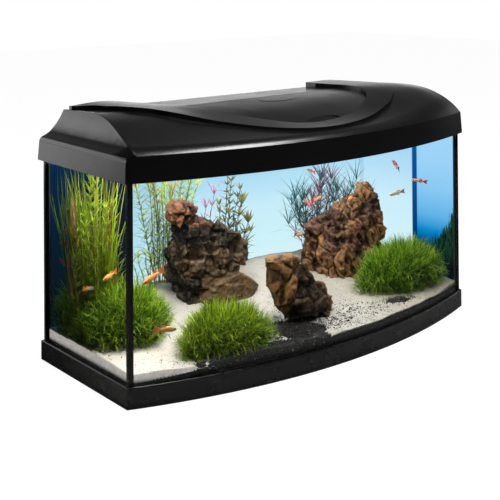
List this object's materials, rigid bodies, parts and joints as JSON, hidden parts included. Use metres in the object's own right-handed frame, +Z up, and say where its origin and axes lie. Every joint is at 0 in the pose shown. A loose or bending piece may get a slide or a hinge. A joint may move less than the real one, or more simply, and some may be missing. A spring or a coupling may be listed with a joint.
{
  "type": "glass aquarium tank",
  "caption": "Bow-front glass aquarium with a black base frame, lift-off moulded hood, hinged access flap, LED lamp and planted sand-and-rock layout.",
  "frame": {"origin": "centre of the footprint, on the surface the tank stands on", "axes": "+X to the viewer's right along the width, -Y towards the bowed front, +Z up"},
  "size_m": [0.815, 0.3669, 0.4521],
  "materials": {
    "black_frame": "semi-gloss moulded",
    "glass": "clear float glass with a green edge",
    "silicone": "smooth cured bead",
    "film": "printed gradient film",
    "hood_plastic": "fine satin grain",
    "badge": "satin",
    "pin_steel": "drawn wire",
    "lamp_aluminium": "anodised",
    "board": "white solder mask",
    "led": "yellow phosphor",
    "diffuser": "clear, lightly frosted",
    "lamp_plastic": "moulded",
    "screw_steel": "zinc plated",
    "cable": "matt sheath",
    "soil": "dark fine gravel",
    "sand": "fine white sand",
    "rock_dark": "craggy, dark",
    "rock_tan": "worn, tan and dark",
    "rock_brown": "craggy, orange brown",
    "wood": "water-worn",
    "grass": "soft leaves",
    "stems": "soft leaves",
    "stems_purple": "soft leaves",
    "fish": "scales"
  },
  "bodies": {
    "tank": {"back_glass": "glass", "background_film": "film", "base_frame": "black_frame", "bottom_glass": "glass", "brace_back": "glass", "brace_front": "glass", "driftwood": "wood", "fish": "fish", "front_glass": "glass", "grass_front": "grass", "grass_left": "grass", "grass_right": "grass", "left_glass": "glass", "right_glass": "glass", "rock_centre": "rock_tan", "rock_left": "rock_dark", "rock_right": "rock_brown", "sand_bed": "sand", "seam_back_left": "silicone", "seam_back_right": "silicone", "seam_bottom": "silicone", "seam_front_left": "silicone", "seam_front_right": "silicone", "soil_layer": "soil", "stem_plants_centre": "stems", "stem_plants_left": "stems", "stem_plants_right": "stems_purple", "tall_grass_left": "stems"},
    "hood": {"hood_shell": "hood_plastic", "hinge_pins": "pin_steel", "lamp_housing": "lamp_aluminium", "lamp_board": "board", "lamp_leds": "led", "lamp_diffuser": "diffuser", "lamp_end_cap_left": "lamp_plastic", "lamp_end_cap_right": "lamp_plastic", "lamp_bracket_left": "lamp_plastic", "lamp_bracket_right": "lamp_plastic", "lamp_screws": "screw_steel", "lamp_cable": "cable", "cable_plug": "cable"},
    "flap": {"flap": "hood_plastic", "badge_plate": "badge"}
  },
  "joints": [
    {"name": "hood_lift", "type": "slide", "parent": "tank", "child": "hood", "axis": [0, 0, 1], "range_m": [0, 0.1]},
    {"name": "flap_hinge", "type": "hinge", "parent": "hood", "child": "flap", "pos_m": [0.032, 0.175, 0.432], "axis": [-1, 0, 0], "range_deg": [0, 85]}
  ]
}
